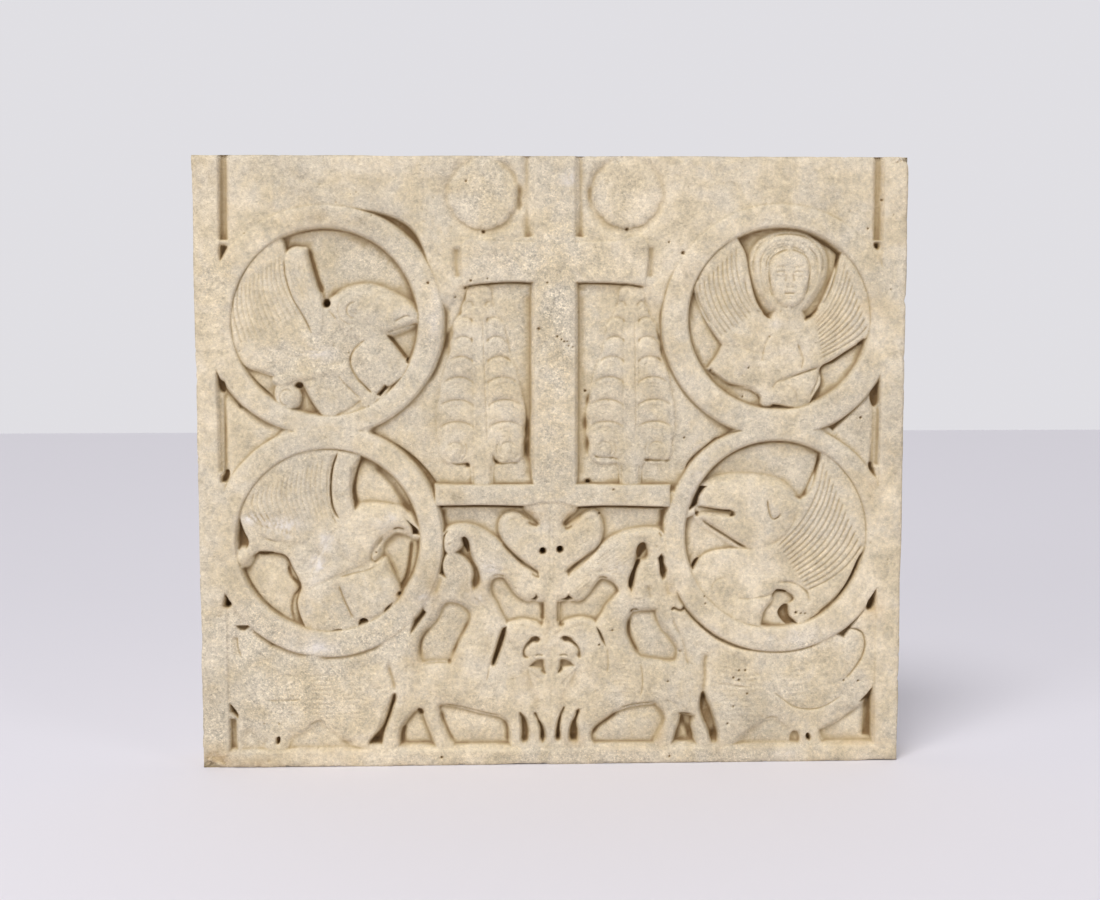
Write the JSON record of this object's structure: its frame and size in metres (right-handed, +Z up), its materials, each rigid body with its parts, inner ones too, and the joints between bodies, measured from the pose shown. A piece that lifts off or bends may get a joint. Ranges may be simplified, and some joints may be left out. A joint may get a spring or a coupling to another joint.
{
  "type": "stone relief panel",
  "caption": "Upright rectangular marble slab carved in low relief: ringed roundels with winged symbols, a cross between trees, birds and griffins at a plant.",
  "frame": {"origin": "middle of the panel's flat underside", "axes": "+X to the right along the width as seen from the carved face, +Z up, the carved face looks along -Y and the plain back along +Y"},
  "size_m": [1, 0.1, 0.866],
  "materials": {
    "marble": "worn coarse-grained cream marble, matt, with grey mottling, ochre patina and brown dirt in the recesses"
  },
  "bodies": {
    "root": {"relief_panel": "marble"}
  },
  "joints": []
}
